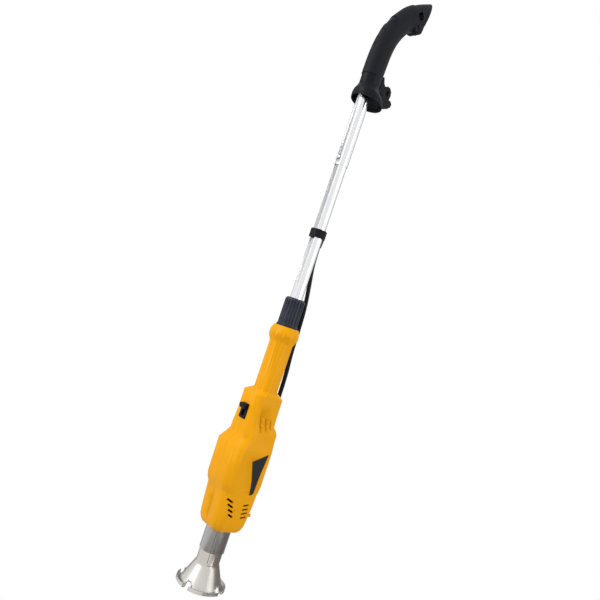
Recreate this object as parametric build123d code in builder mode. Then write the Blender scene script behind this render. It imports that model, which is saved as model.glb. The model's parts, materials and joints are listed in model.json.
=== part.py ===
"""Hot-air weed burner: a heat gun on a light pole with a walking-stick handle.

Millimetres. The origin is the centre of the nozzle's mouth, +Z runs up the pole to the handle,
-Y is the front with the switch, +Y the back with the mains cord. The moulded shells part at X = 0.
"""

import os
from math import cos, pi, radians, sin, tan

from build123d import *

os.makedirs("parts", exist_ok=True)

# ---------------------------------------------------------------- driving dimensions
# clearances
FIT = 0.05  # radial clearance of a running fit
GAP = 0.3  # between pieces that move past each other
SEAM = 0.1  # each half shell stops this far from the parting plane

# nozzle and hot-air tubes
SHEET = 1.0  # nozzle sheet
AIR_TUBE_RADIUS = 17.4
AIR_TUBE_WALL = 0.8
SHIELD_RADIUS = 20.0
SHIELD_WALL = 0.8
SHIELD_SEAM = 0.5
SHIELD_FLANGE = 2.4
CONE_HEIGHT = 36.0
CONE_MOUTH_RADIUS = 33.0
RIM_RADIUS = 39.5
RIM_HEIGHT = 6.0
NOTCH_WIDTH = 9.6
NOTCH_HEIGHT = 9.4
NOTCH_COUNT = 4
NOTCH_TURN = -70.0  # angle from +X of the first notch
NECK_TOP = 62.0
SLIT = 0.9  # width of the slits in the neck
SLIT_ROUND = 24.0  # how far the level slit runs round the neck, in degrees
SLIT_STEPS = 4
SHIELD_BOTTOM = 56.5
AIR_TUBE_BOTTOM = 39.0
SEAM_TURN = -39.0  # angle from +X of the tubes' butt seam and the neck's slit

# yellow housing
WALL = 2.5
HOUSING_BOTTOM = 93.0
FRONT_FACE = 27.0  # the flat front that carries the switch stands this far from the axis
SHOULDER_SIDE = 25.5  # half width where the switch sits
GRIP_RADIUS = 18.8
GRIP_BOTTOM = 318.0
GRIP_TOP = 394.0
LIP_RADIUS = 23.6
LIP_BOTTOM = 404.0
LIP_TOP = 412.5
HOUSING_TOP = 421.0
TOP_RADIUS = 20.0  # the housing narrows to this at its top
LUG_TURN = 50.0  # angle from +X of the small lug
LUG_Z = 124.0
CORD_POD_Y = 31.5
CORD_POD_RADIUS = 7.0
CORD_POD_TOP = 266.0
CORD_POD_BOTTOM = 218.0
SCREW_RADIUS = 1.5
SCREW_HEAD_RADIUS = 2.8
SCREW_HEAD_SEAT = 12.0  # depth of the head's seat from the parting plane
LABEL_X = 33.0  # the bare plate's recess ends just inside this distance from the parting plane
VENT_COLUMNS = (  # Y and Z of the top slot, how far each next one lies back and down, tilt, length
    (-21.5, 147.0, 3.0, 7.7, -24.0, 11.5),
    (9.8, 142.0, 0.9, 6.6, 12.0, 11.0),
)
VENT_ROWS = 4
VENT_SLOT = 3.0
GROOVES = ((-10.5, 27.0), (0.5, 20.0), (10.5, 13.0))  # Y of each side groove and its length
GROOVE_Z = 268.0
GROOVE_WIDTH = 2.2
GROOVE_DEPTH = 1.3
GROOVE_TILT = 106.0

# heater, fan and motor
AIR_TUBE_TOP = 150.0
AIR_FLANGE_RADIUS = 21.0
FORMER_RADIUS = 13.4
FORMER_BOTTOM = 50.0
FORMER_TOP = 142.0
COIL_RADIUS = 14.2
COIL_WIRE = 1.4
COIL_TURNS = 9
FAN_RADIUS = 23.0
FAN_BOTTOM = 180.0
FAN_HEIGHT = 10.0
FAN_BLADES = 9
SHAFT_RADIUS = 2.0
MOTOR_RADIUS = 18.0
MOTOR_BOTTOM = 199.0
MOTOR_LENGTH = 46.0

# switch
SWITCH_Z = 279.0
SWITCH_WIDTH = 16.0
SWITCH_HEIGHT = 24.0
SWITCH_DEPTH = 15.0
SWITCH_PLATE = 1.6
SLIDE_TRAVEL = 10.0
STEM_WIDTH = 5.0
STEM_HEIGHT = 6.0
KNOB_WIDTH = 13.0
KNOB_HEIGHT = 9.0
KNOB_PROUD = 6.5

# pole
BUSH_RADIUS = 12.5
LOWER_TUBE_RADIUS = 9.9
LOWER_TUBE_WALL = 1.0
UPPER_TUBE_RADIUS = 10.75
TUBE_INSERT = 48.0  # length of the lower tube inside the upper one
LOWER_TUBE_BOTTOM = 376.0
UPPER_TUBE_BOTTOM = 690.0
UPPER_TUBE_TOP = 884.0
BUTTON_Z = 702.0
BUTTON_RADIUS = 3.4
BUTTON_PROUD = 2.4
SLEEVE_TOP = 468.0
SLEEVE_RADIUS = 16.3
SLEEVE_FLUTES = 20
COLLAR_Z = 576.0
COLLAR_LENGTH = 13.4
COLLAR_RADIUS = 13.2
CLIP_TURN = 108.0  # angle from +X of the cord's channel on the collar
CLIP_DROP = 12.0  # how far the channel reaches below the collar

# handle
GUARD_RIM_Z = 801.0
GUARD_RADIUS = 27.0
GUARD_WALL = 2.2
GUARD_SHIFT = 8.0  # the guard's rim stands this far back of the pole
GUARD_TILT = 9.0  # the rim drops towards the back by this angle
HANDLE_BOTTOM = 826.0
HANDLE_WALL = 2.6
HANDLE_SIDE = 15.0  # half the handle's thickness across
GRIP_PAD = 1.1  # how far the soft grip stands proud
HOOK_HOLE_Y = 40.0
HOOK_HOLE_Z = 833.5
HOOK_SIDE = 5.0  # half the hook's thickness
HANG_HOLE_RADIUS = 6.2
HANG_HOLE_Y = 50.5
HANG_HOLE_Z = 972.5

# cord
CORD_RADIUS = 3.4
HANK_X, HANK_Y = -79.3, 66.5
HANK_TOP = 300.0
HANK_LENGTH = 136.8
HANK_DEPTH = 13.6  # the lead enters this far in front of the hank's middle, and leaves as far behind
HANK_TURN = 50.0  # angle from +X of the hank's wide side
TIE_HEIGHT = 10.0
TIE_THICKNESS = 1.4
TAIL_LENGTH = 32.0
PLUG_RADIUS = 18.0
PLUG_LENGTH = 35.0
PIN_RADIUS = 2.4
PIN_LENGTH = 19.0
PIN_SPACING = 19.0
BOOT_BASE_RADIUS = 5.0
BOOT_TOP = 300.0

# ---------------------------------------------------------------- derived sizes
NECK_INNER = AIR_TUBE_RADIUS + FIT
NECK_OUTER = NECK_INNER + SHEET
LOWER_TUBE_TOP = UPPER_TUBE_BOTTOM + TUBE_INSERT
MOTOR_TOP = MOTOR_BOTTOM + MOTOR_LENGTH
TUBE_BORE = LOWER_TUBE_RADIUS + FIT


def polar(radius, turn):
    """X and Y of a point at a radius and an angle in degrees from +X."""
    return radius * cos(radians(turn)), radius * sin(radians(turn))


def radial_plane(turn, distance):
    """Upright plane facing out at an angle from +X; its X runs round the pole and its Y up."""
    across, outwards = (*polar(1, turn + 90), 0), (*polar(1, turn), 0)
    return Plane(origin=(*polar(distance, turn), 0), x_dir=across, z_dir=outwards)


def save(part, name):
    """Names a finished piece and writes it."""
    part.label = name
    export_step(part, f"parts/{name}.step")
    print(name, round(part.volume))


# ---------------------------------------------------------------- nozzle
def make_cone_nozzle():
    """Spun cone with an upturned rim, four notches, and a slit neck that springs on the air tube."""
    lip = SHEET + 0.2
    with BuildPart() as nozzle:
        with BuildSketch(Plane.XZ):
            with BuildLine():
                Polyline(
                    (NECK_INNER, NECK_TOP),
                    (NECK_OUTER, NECK_TOP),
                    (NECK_OUTER, CONE_HEIGHT + 2),
                    (CONE_MOUTH_RADIUS + SHEET, lip + 2),
                    (CONE_MOUTH_RADIUS + 2 * SHEET, lip),
                    (RIM_RADIUS - 2 * SHEET, lip),
                    (RIM_RADIUS - lip, lip + SHEET),
                    (RIM_RADIUS - lip, RIM_HEIGHT),
                    (RIM_RADIUS, RIM_HEIGHT),
                    (RIM_RADIUS, SHEET),
                    (RIM_RADIUS - SHEET, 0),
                    (CONE_MOUTH_RADIUS + SHEET / 2, 0),
                    (CONE_MOUTH_RADIUS - SHEET / 4, SHEET),
                    (NECK_INNER, CONE_HEIGHT),
                    close=True,
                )
            make_face()
        revolve(axis=Axis.Z)
        for index in range(NOTCH_COUNT):
            turn = NOTCH_TURN + 360 / NOTCH_COUNT * index
            with BuildSketch(radial_plane(turn, RIM_RADIUS - 14)):
                with Locations((0, NOTCH_HEIGHT - NOTCH_WIDTH / 2)):
                    Circle(NOTCH_WIDTH / 2)
                with Locations((0, (NOTCH_HEIGHT - NOTCH_WIDTH / 2) / 2 - 1)):
                    Rectangle(NOTCH_WIDTH, NOTCH_HEIGHT - NOTCH_WIDTH / 2 + 2)
            extrude(amount=16, mode=Mode.SUBTRACT)
        # upright slit in the neck, and the short slit round from its foot, so that the neck springs
        slit_foot = CONE_HEIGHT + 1
        with BuildSketch(radial_plane(SEAM_TURN, NECK_INNER - 3)):
            with Locations((0, (slit_foot + NECK_TOP + 1) / 2)):
                Rectangle(SLIT, NECK_TOP + 1 - slit_foot)
        extrude(amount=6, mode=Mode.SUBTRACT)
        for index in range(SLIT_STEPS):
            step = SLIT_ROUND / SLIT_STEPS
            with BuildSketch(radial_plane(SEAM_TURN + (index + 0.5) * step, NECK_INNER - 3)):
                with Locations((0, slit_foot + SLIT / 2)):
                    Rectangle(2 * pi * NECK_OUTER * step / 360, SLIT)
            extrude(amount=6, mode=Mode.SUBTRACT)
    save(nozzle.part, "cone_nozzle")


# ---------------------------------------------------------------- hot-air tubes and heater
def make_tubes():
    """The air tube that the nozzle slides on, and the rolled shield tube round it."""
    with BuildPart() as air:
        with BuildSketch(Plane.XY.offset(AIR_TUBE_BOTTOM)):
            Circle(AIR_TUBE_RADIUS)
            Circle(AIR_TUBE_RADIUS - AIR_TUBE_WALL, mode=Mode.SUBTRACT)
        extrude(amount=AIR_TUBE_TOP - AIR_TUBE_BOTTOM)
        with BuildSketch(Plane.XY.offset(AIR_TUBE_TOP)):
            Circle(AIR_FLANGE_RADIUS)
            Circle(AIR_TUBE_RADIUS - AIR_TUBE_WALL, mode=Mode.SUBTRACT)
        extrude(amount=AIR_TUBE_WALL)
    save(air.part, "air_tube")

    seat = HOUSING_BOTTOM + WALL
    bore = SHIELD_RADIUS - SHIELD_WALL
    with BuildPart() as shield:
        with BuildSketch(Plane.XY.offset(SHIELD_BOTTOM)):
            Circle(SHIELD_RADIUS)
            Circle(bore, mode=Mode.SUBTRACT)
        extrude(amount=seat + 8 - SHIELD_BOTTOM)
        with BuildSketch(Plane.XY.offset(seat)):
            Circle(SHIELD_RADIUS + SHIELD_FLANGE)
            Circle(bore, mode=Mode.SUBTRACT)
        extrude(amount=SHIELD_WALL)
        with BuildSketch(radial_plane(SEAM_TURN, bore - 3)):
            with Locations((0, (SHIELD_BOTTOM + seat + 8) / 2)):
                Rectangle(SHIELD_SEAM, seat + 10 - SHIELD_BOTTOM)
        extrude(amount=8, mode=Mode.SUBTRACT)
    save(shield.part, "heat_shield_tube")


def make_heater():
    """Mica sleeve, star-shaped ceramic former, its winding and the end disc with the air holes."""
    mica_outer = AIR_TUBE_RADIUS - AIR_TUBE_WALL - 0.1
    with BuildPart() as mica:
        with BuildSketch(Plane.XY.offset(FORMER_BOTTOM - 4)):
            Circle(mica_outer)
            Circle(mica_outer - 0.5, mode=Mode.SUBTRACT)
        extrude(amount=FORMER_TOP + 4 - FORMER_BOTTOM)
    save(mica.part, "mica_sleeve")

    web = 2.2
    with BuildPart() as former:
        with BuildSketch(Plane.XY.offset(FORMER_BOTTOM)):
            for turn in (0, 60, 120):
                with Locations(Rotation(0, 0, turn)):
                    Rectangle(2 * FORMER_RADIUS, web)
            Circle(3.4)
        extrude(amount=FORMER_TOP - FORMER_BOTTOM)
    save(former.part, "heater_former")

    pitch = (FORMER_TOP - FORMER_BOTTOM - 16) / COIL_TURNS
    with BuildPart() as coil:
        with BuildLine() as wire:
            Helix(pitch, pitch * COIL_TURNS, COIL_RADIUS, center=(0, 0, FORMER_BOTTOM + 8))
        start = wire.line @ 0
        with BuildSketch(Plane(origin=start, z_dir=wire.line % 0)):
            RegularPolygon(COIL_WIRE / 2, 6)
        sweep(is_frenet=True)
    save(coil.part, "heater_coil")

    with BuildPart() as disc:
        with BuildSketch(Plane.XY.offset(FORMER_TOP)):
            Circle(mica_outer)
            Circle(2.2, mode=Mode.SUBTRACT)
            with PolarLocations(10, 6):
                Circle(3.0, mode=Mode.SUBTRACT)
        extrude(amount=AIR_TUBE_TOP - FORMER_TOP)
    save(disc.part, "heater_end_disc")


# ---------------------------------------------------------------- fan and motor
def make_fan():
    """Impeller, its shaft and rotor, and the guide that funnels the air into the tube."""
    hub = 5.5
    with BuildPart() as impeller:
        with BuildSketch(Plane.XY.offset(FAN_BOTTOM)):
            Circle(hub)
        extrude(amount=FAN_HEIGHT + 2)
        with BuildSketch(Plane.XY.offset(FAN_BOTTOM + FAN_HEIGHT)):
            Circle(FAN_RADIUS)
        extrude(amount=1.2)
        with BuildSketch(Plane.XY.offset(FAN_BOTTOM)):
            for index in range(FAN_BLADES):
                turn = 360 / FAN_BLADES * index
                root, tip = polar(hub - 1, turn), polar(FAN_RADIUS - 0.5, turn + 42)
                with BuildLine():
                    ThreePointArc(root, polar((hub + FAN_RADIUS) / 2, turn + 14), tip)
                trace(line_width=1.3)
        extrude(amount=FAN_HEIGHT)
        with BuildSketch(Plane.XY.offset(FAN_BOTTOM)):
            Circle(SHAFT_RADIUS)
        extrude(amount=FAN_HEIGHT + 2, mode=Mode.SUBTRACT)
    save(impeller.part, "fan_impeller")

    with BuildPart() as shaft:
        with BuildSketch(Plane.XY.offset(FAN_BOTTOM)):
            Circle(SHAFT_RADIUS)
        extrude(amount=MOTOR_TOP + 6 - FAN_BOTTOM)
    save(shaft.part, "motor_shaft")

    rotor_bottom, rotor_top = MOTOR_BOTTOM + 8, MOTOR_TOP - 8
    with BuildPart() as rotor:
        with BuildSketch(Plane.XY.offset(rotor_bottom)):
            Circle(12.5)
            with PolarLocations(12.5, 9):
                Rectangle(5, 1.4, mode=Mode.SUBTRACT)
            Circle(SHAFT_RADIUS, mode=Mode.SUBTRACT)
        extrude(amount=rotor_top - rotor_bottom)
    save(rotor.part, "motor_rotor")

    outer = FAN_RADIUS + 3.5
    with BuildPart() as guide:
        with BuildSketch(Plane.XZ):
            with BuildLine():
                inside = [
                    (AIR_TUBE_RADIUS - AIR_TUBE_WALL, AIR_TUBE_TOP + AIR_TUBE_WALL),
                    (AIR_TUBE_RADIUS - AIR_TUBE_WALL, AIR_TUBE_TOP + 8),
                    (FAN_RADIUS + 1.5, FAN_BOTTOM - 6),
                    (FAN_RADIUS + 1.5, MOTOR_BOTTOM - 2),
                ]
                outside = [
                    (outer, MOTOR_BOTTOM - 2),
                    (outer, FAN_BOTTOM - 8),
                    (AIR_TUBE_RADIUS + 2, AIR_TUBE_TOP + 7),
                    (AIR_FLANGE_RADIUS, AIR_TUBE_TOP + 2.5),
                    (AIR_FLANGE_RADIUS, AIR_TUBE_TOP + AIR_TUBE_WALL),
                ]
                Polyline(*inside, *outside, close=True)
            make_face()
        revolve(axis=Axis.Z)
    save(guide.part, "air_guide")


def make_motor():
    """Drawn can, two magnets, bearings, brush plate and the plate that carries the motor."""
    wall = 1.2
    nose = 4.2
    with BuildPart() as plate:
        with BuildSketch(Plane.XY.offset(MOTOR_BOTTOM - 2)):
            Circle(FAN_RADIUS + 3.5)
            Circle(nose + FIT, mode=Mode.SUBTRACT)
            with PolarLocations(13.5, 6):
                Circle(3.2, mode=Mode.SUBTRACT)
        extrude(amount=2)
    save(plate.part, "motor_plate")

    with BuildPart() as can:
        with BuildSketch(Plane.XY.offset(MOTOR_BOTTOM)):
            Circle(MOTOR_RADIUS)
        extrude(amount=MOTOR_LENGTH)
        fillet(can.edges().group_by(Axis.Z)[0], 2)
        with BuildSketch(Plane.XY.offset(MOTOR_BOTTOM + wall)):
            Circle(MOTOR_RADIUS - wall)
        extrude(amount=MOTOR_LENGTH, mode=Mode.SUBTRACT)
        with BuildSketch(Plane.XY.offset(MOTOR_BOTTOM - 1.5)):
            Circle(nose)
        extrude(amount=5)
        with BuildSketch(Plane.XY.offset(MOTOR_BOTTOM - 2)):
            Circle(nose - 1)
        extrude(amount=10, mode=Mode.SUBTRACT)
    save(can.part, "motor_can")

    with BuildPart() as magnets:
        with BuildSketch(Plane.XY.offset(MOTOR_BOTTOM + 8)):
            Circle(MOTOR_RADIUS - wall)
            Circle(13.4, mode=Mode.SUBTRACT)
            Rectangle(12, 2 * MOTOR_RADIUS, mode=Mode.SUBTRACT)
        extrude(amount=MOTOR_LENGTH - 16)
    save(magnets.part, "motor_magnets")

    with BuildPart() as bearings:
        for height in (MOTOR_BOTTOM, MOTOR_TOP - 1):
            with BuildSketch(Plane.XY.offset(height)):
                Circle(nose - 1)
                Circle(SHAFT_RADIUS + FIT, mode=Mode.SUBTRACT)
            extrude(amount=3)
    save(bearings.part, "motor_bearings")

    with BuildPart() as brushes:
        with BuildSketch(Plane.XY.offset(MOTOR_TOP)):
            Circle(MOTOR_RADIUS)
            Circle(nose - 1, mode=Mode.SUBTRACT)
        extrude(amount=2.5)
        with BuildSketch(Plane.XY.offset(MOTOR_TOP + 2.5)):
            with Locations((0, 11), (0, -11)):
                Rectangle(6, 3)
        extrude(amount=5)
        fillet(brushes.edges().filter_by(GeomType.CIRCLE).group_by(Axis.Z)[-1], 0.6)
    save(brushes.part, "brush_plate")


# ---------------------------------------------------------------- yellow housing
def housing_stations(inset):
    """Sections up the housing, drawn in all round: height, half width, front, back, corner radius."""
    bottom_drop, bottom_rise = 10.6, 21.0
    boot_back = CORD_POD_Y - BOOT_BASE_RADIUS - GAP - 0.3
    stations = []
    for angle in (0, 25, 45, 65, 90):
        away = bottom_drop * (1 - sin(radians(angle))) + inset * sin(radians(angle))
        height = HOUSING_BOTTOM + bottom_rise * (1 - cos(radians(angle))) + inset * cos(radians(angle))
        stations.append((height, 31 - away, 30 - away, 30 - away, 15.5 - away * 0.55))
    body = [
        (138, 32.5, 31.5, 32, 16),
        (157, 33, 33.5, 33, 17),
        (163, 33.5, 37, 34, 17),
        (171, 34, 39, 34.5, 16.5),
        (192, 34, 39.5, 34.5, 16.5),
        (227, 34, 40, 34, 16),
        (236, 32, 33, 34.5, 16),
        (245, 30.5, FRONT_FACE, 35, 16),
        (254, 30, FRONT_FACE, 35, 15.5),
        (260, 28, FRONT_FACE, 32, 14),
        (CORD_POD_TOP - 0.5, SHOULDER_SIDE + 1, FRONT_FACE, boot_back, 12.5),
        (279, SHOULDER_SIDE, FRONT_FACE, boot_back, 12.5),
        (310, SHOULDER_SIDE, FRONT_FACE, boot_back - 0.7, 12),
    ]
    grip = ((GRIP_BOTTOM, GRIP_RADIUS), (GRIP_TOP, GRIP_RADIUS))
    lip = ((LIP_BOTTOM, LIP_RADIUS), (LIP_TOP, LIP_RADIUS))
    body += [(height, radius, radius, radius, radius - 0.2) for height, radius in grip + lip]
    stations += [(row[0], *[size - inset for size in row[1:]]) for row in body]
    stations.append((HOUSING_TOP - inset, *[TOP_RADIUS - inset] * 3, TOP_RADIUS - 0.2 - inset))
    return stations


def housing_form(inset):
    """Ruled form through the stations, with every side drawn in."""
    with BuildPart() as form:
        for height, side, front, back, corner in housing_stations(inset):
            with BuildSketch(Plane.XY.offset(height)):
                with Locations((0, (back - front) / 2)):
                    RectangleRounded(2 * side, front + back, corner)
        loft(ruled=True)
    return form.part


HOUSING_SCREWS = [(-24.5, 117.0), (26.6, 150.0), (-28.0, 214.0), (28.0, 214.0), (0.0, 330.0), (0.0, 362.0)]


def groove_form():
    """What the shallow grooves on both sides take away: slots as deep as GROOVE_DEPTH in the skin."""
    with BuildPart() as grooves:
        with BuildSketch(Plane.YZ):
            for y, length in GROOVES:
                with Locations((y, GROOVE_Z)):
                    SlotOverall(length, GROOVE_WIDTH, rotation=GROOVE_TILT)
        extrude(amount=2 * SHOULDER_SIDE, both=True)
        add(housing_form(GROOVE_DEPTH), mode=Mode.SUBTRACT)
    return grooves.part


def make_housing():
    """Two moulded half shells with vents, grooves, screw posts, ribs and the cord's pod."""
    pod_floor = CORD_POD_TOP - 5
    with BuildPart() as hollow:
        add(housing_form(WALL))
        with BuildSketch(Plane.XY.offset(CORD_POD_BOTTOM + WALL)):
            with Locations((0, CORD_POD_Y)):
                Circle(BOOT_BASE_RADIUS + 0.7)
        extrude(amount=pod_floor - CORD_POD_BOTTOM - WALL)
        # ribs that carry the motor plate and the bush, and posts for the screws
        for height, bore in (
            (MOTOR_BOTTOM - 2.2, FAN_RADIUS + 3.6),
            (LOWER_TUBE_BOTTOM + 5.1, BUSH_RADIUS + 0.1),
        ):
            with BuildSketch(Plane.XY.offset(height)):
                Circle(60)
                Circle(bore, mode=Mode.SUBTRACT)
            extrude(amount=2.4, mode=Mode.SUBTRACT)
        with BuildSketch(Plane.YZ.offset(-60)):
            with Locations(*HOUSING_SCREWS):
                Circle(SCREW_HEAD_RADIUS + 1.4)
        extrude(amount=120, mode=Mode.SUBTRACT)
        # round openings for the shield tube and its flange, the bush and the cord
        for height, y, radius, length in (
            (HOUSING_BOTTOM - 1, 0, SHIELD_RADIUS + 0.15, WALL + 2),
            (HOUSING_BOTTOM + WALL, 0, SHIELD_RADIUS + SHIELD_FLANGE + 0.2, 3),
            (HOUSING_TOP - WALL - 1, 0, BUSH_RADIUS + 0.1, WALL + 2),
            (pod_floor - 1, CORD_POD_Y, BOOT_BASE_RADIUS - 0.3, 8),
        ):
            with BuildSketch(Plane.XY.offset(height)):
                with Locations((0, y)):
                    Circle(radius)
            extrude(amount=length)
        # air slots in two slanted columns, and three shallow grooves, on each side
        for side in (-1, 1):
            with BuildSketch(Plane.YZ.offset(side * 22)):
                for top_y, top_z, back, down, tilt, length in VENT_COLUMNS:
                    for row in range(VENT_ROWS):
                        with Locations((top_y + back * row, top_z - down * row)):
                            SlotOverall(length, VENT_SLOT, rotation=tilt)
            extrude(amount=side * 30)
        add(groove_form())
        # the screws' shanks and heads
        with BuildSketch(Plane.YZ.offset(-SCREW_HEAD_SEAT - 1)):
            with Locations(*HOUSING_SCREWS):
                Circle(SCREW_RADIUS + 0.1)
        extrude(amount=SCREW_HEAD_SEAT + 11.5)
        with BuildSketch(Plane.YZ.offset(-60)):
            with Locations(*HOUSING_SCREWS):
                Circle(SCREW_HEAD_RADIUS + 0.2)
        extrude(amount=60 - SCREW_HEAD_SEAT)
        # switch cut-out, and the recess for the bare plate
        with BuildSketch(Plane.XZ.offset(10)):
            with Locations((0, SWITCH_Z)):
                Rectangle(SWITCH_WIDTH - 4.2, SWITCH_HEIGHT - 2.2)
        extrude(amount=30)
        with BuildSketch(Plane.YZ.offset(LABEL_X - 0.2)):
            with BuildLine():
                Polyline(*label_outline(), close=True)
            make_face()
            offset(amount=0.25)
        extrude(amount=10)
    with BuildPart() as whole:
        add(housing_form(0))
        with BuildSketch(Plane.XY.offset(CORD_POD_BOTTOM)):
            with Locations((0, CORD_POD_Y)):
                Circle(CORD_POD_RADIUS)
        extrude(amount=CORD_POD_TOP - CORD_POD_BOTTOM)
        # small lug low on the back corner
        with BuildSketch(radial_plane(LUG_TURN, 33)):
            with Locations((0, LUG_Z)):
                Circle(2.6)
        extrude(amount=7.5)
        add(hollow.part, mode=Mode.SUBTRACT)
    for name, side in (("housing_left", Keep.BOTTOM), ("housing_right", Keep.TOP)):
        shift = -SEAM if side == Keep.BOTTOM else SEAM
        with BuildPart() as half:
            add(whole.part)
            split(bisect_by=Plane.YZ.offset(shift), keep=side)
        save(half.part, name)

    with BuildPart() as screws:
        for y, z in HOUSING_SCREWS:
            with BuildSketch(Plane.YZ.offset(-SCREW_HEAD_SEAT - 2)):
                with Locations((y, z)):
                    Circle(SCREW_HEAD_RADIUS)
            extrude(amount=2)
            with BuildSketch(Plane.YZ.offset(-SCREW_HEAD_SEAT)):
                with Locations((y, z)):
                    Circle(SCREW_RADIUS)
            extrude(amount=SCREW_HEAD_SEAT + 10)
            with BuildSketch(Plane.YZ.offset(-SCREW_HEAD_SEAT - 2)):
                with Locations((y, z)):
                    Rectangle(3.2, 0.8)
                    Rectangle(0.8, 3.2)
            extrude(amount=1, mode=Mode.SUBTRACT)
    save(screws.part, "housing_screws")


def label_outline():
    """Corners of the bare wedge plate on the right side, as Y and Z."""
    return [(-7, 211), (20, 224.5), (16, 188), (15, 161), (9, 159), (3.5, 182)]


def make_label():
    """Bare wedge plate in its recess."""
    with BuildPart() as label:
        with BuildSketch(Plane.YZ.offset(LABEL_X - 0.2)):
            with BuildLine():
                Polyline(*label_outline(), close=True)
            make_face()
        extrude(amount=1.2)
    save(label.part, "side_plate")


# ---------------------------------------------------------------- switch
def make_switch():
    """Slide switch: a framed track with its box behind, and the thumb slider in it."""
    top = SWITCH_Z + SWITCH_HEIGHT / 2
    stem_top = top - 3.5
    with BuildPart() as frame:
        with BuildSketch(Plane.XZ.offset(FRONT_FACE)):
            with Locations((0, SWITCH_Z)):
                RectangleRounded(SWITCH_WIDTH, SWITCH_HEIGHT, 2)
        extrude(amount=SWITCH_PLATE)
        fillet(frame.faces().sort_by(Axis.Y)[0].edges(), 0.5)
        with BuildSketch(Plane.XZ.offset(FRONT_FACE - SWITCH_DEPTH)):
            with Locations((0, SWITCH_Z)):
                Rectangle(SWITCH_WIDTH - 4.4, SWITCH_HEIGHT - 2.4)
        extrude(amount=SWITCH_DEPTH)
        with BuildSketch(Plane.XZ.offset(FRONT_FACE - SWITCH_DEPTH + 1.5)):
            with Locations((0, SWITCH_Z)):
                Rectangle(SWITCH_WIDTH - 7.0, SWITCH_HEIGHT - 4.6)
        extrude(amount=SWITCH_DEPTH - 1.5, mode=Mode.SUBTRACT)
        track = STEM_HEIGHT + SLIDE_TRAVEL + 2 * GAP
        with BuildSketch(Plane.XZ.offset(FRONT_FACE - 1)):
            with Locations((0, stem_top + GAP - track / 2)):
                Rectangle(STEM_WIDTH + 2 * GAP, track)
        extrude(amount=SWITCH_PLATE + 2, mode=Mode.SUBTRACT)
        with BuildSketch(Plane.XZ.offset(FRONT_FACE - SWITCH_DEPTH - 7)):
            with Locations((0, SWITCH_Z - 7), (0, SWITCH_Z), (0, SWITCH_Z + 7)):
                Rectangle(4.8, 0.8)
        extrude(amount=7)
    save(frame.part, "switch_frame")

    with BuildPart() as slider:
        with BuildSketch(Plane.YZ.offset(-KNOB_WIDTH / 2)):
            with BuildLine():
                base = -FRONT_FACE - SWITCH_PLATE - GAP
                Polyline(
                    (base, top - 0.5),
                    (base - KNOB_PROUD + 1.5, top - 1.0),
                    (base - KNOB_PROUD, top - 3.0),
                    (base - KNOB_PROUD + 1.0, top - KNOB_HEIGHT + 1.5),
                    (base - KNOB_PROUD + 2.5, top - KNOB_HEIGHT),
                    (base, top - KNOB_HEIGHT),
                    close=True,
                )
            make_face()
        extrude(amount=KNOB_WIDTH)
        fillet(slider.edges().filter_by(Axis.X).group_by(Axis.Y)[0], 0.6)
        with BuildSketch(Plane.XZ.offset(FRONT_FACE - 4.0)):
            with Locations((0, stem_top - STEM_HEIGHT / 2)):
                Rectangle(STEM_WIDTH, STEM_HEIGHT)
        extrude(amount=4.0 + SWITCH_PLATE + 2 * GAP)
        with BuildSketch(Plane.XZ.offset(FRONT_FACE - 4.0)):
            with Locations((0, stem_top - STEM_HEIGHT / 2)):
                Rectangle(SWITCH_WIDTH - 7.0 - 2 * GAP, STEM_HEIGHT)
        extrude(amount=4.0 - GAP)
    save(slider.part, "switch_slider")


# ---------------------------------------------------------------- board, clamp and strain relief
def make_electrics():
    """Control board with its parts, and the clamp that holds the cord inside the shell."""
    board_y, board_bottom = 6.0, 262.0
    with BuildPart() as board:
        with BuildSketch(Plane.XZ.offset(-board_y)):
            with Locations((0, board_bottom + 20)):
                Rectangle(2 * (SHOULDER_SIDE - WALL - GAP), 40)
        extrude(amount=1.6)
    save(board.part, "control_board")
    with BuildPart() as parts:
        with BuildSketch(Plane.XZ.offset(-board_y - 8)):
            with Locations((-8, board_bottom + 30), (6, board_bottom + 32)):
                Circle(4)
        extrude(amount=8)
        with BuildSketch(Plane.XZ.offset(-board_y - 5)):
            with Locations((-9, board_bottom + 12), (-3, board_bottom + 12), (3, board_bottom + 12)):
                Rectangle(3, 8)
            with Locations((10, board_bottom + 14)):
                Rectangle(7, 14)
        extrude(amount=5)
    save(parts.part, "board_components")


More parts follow.
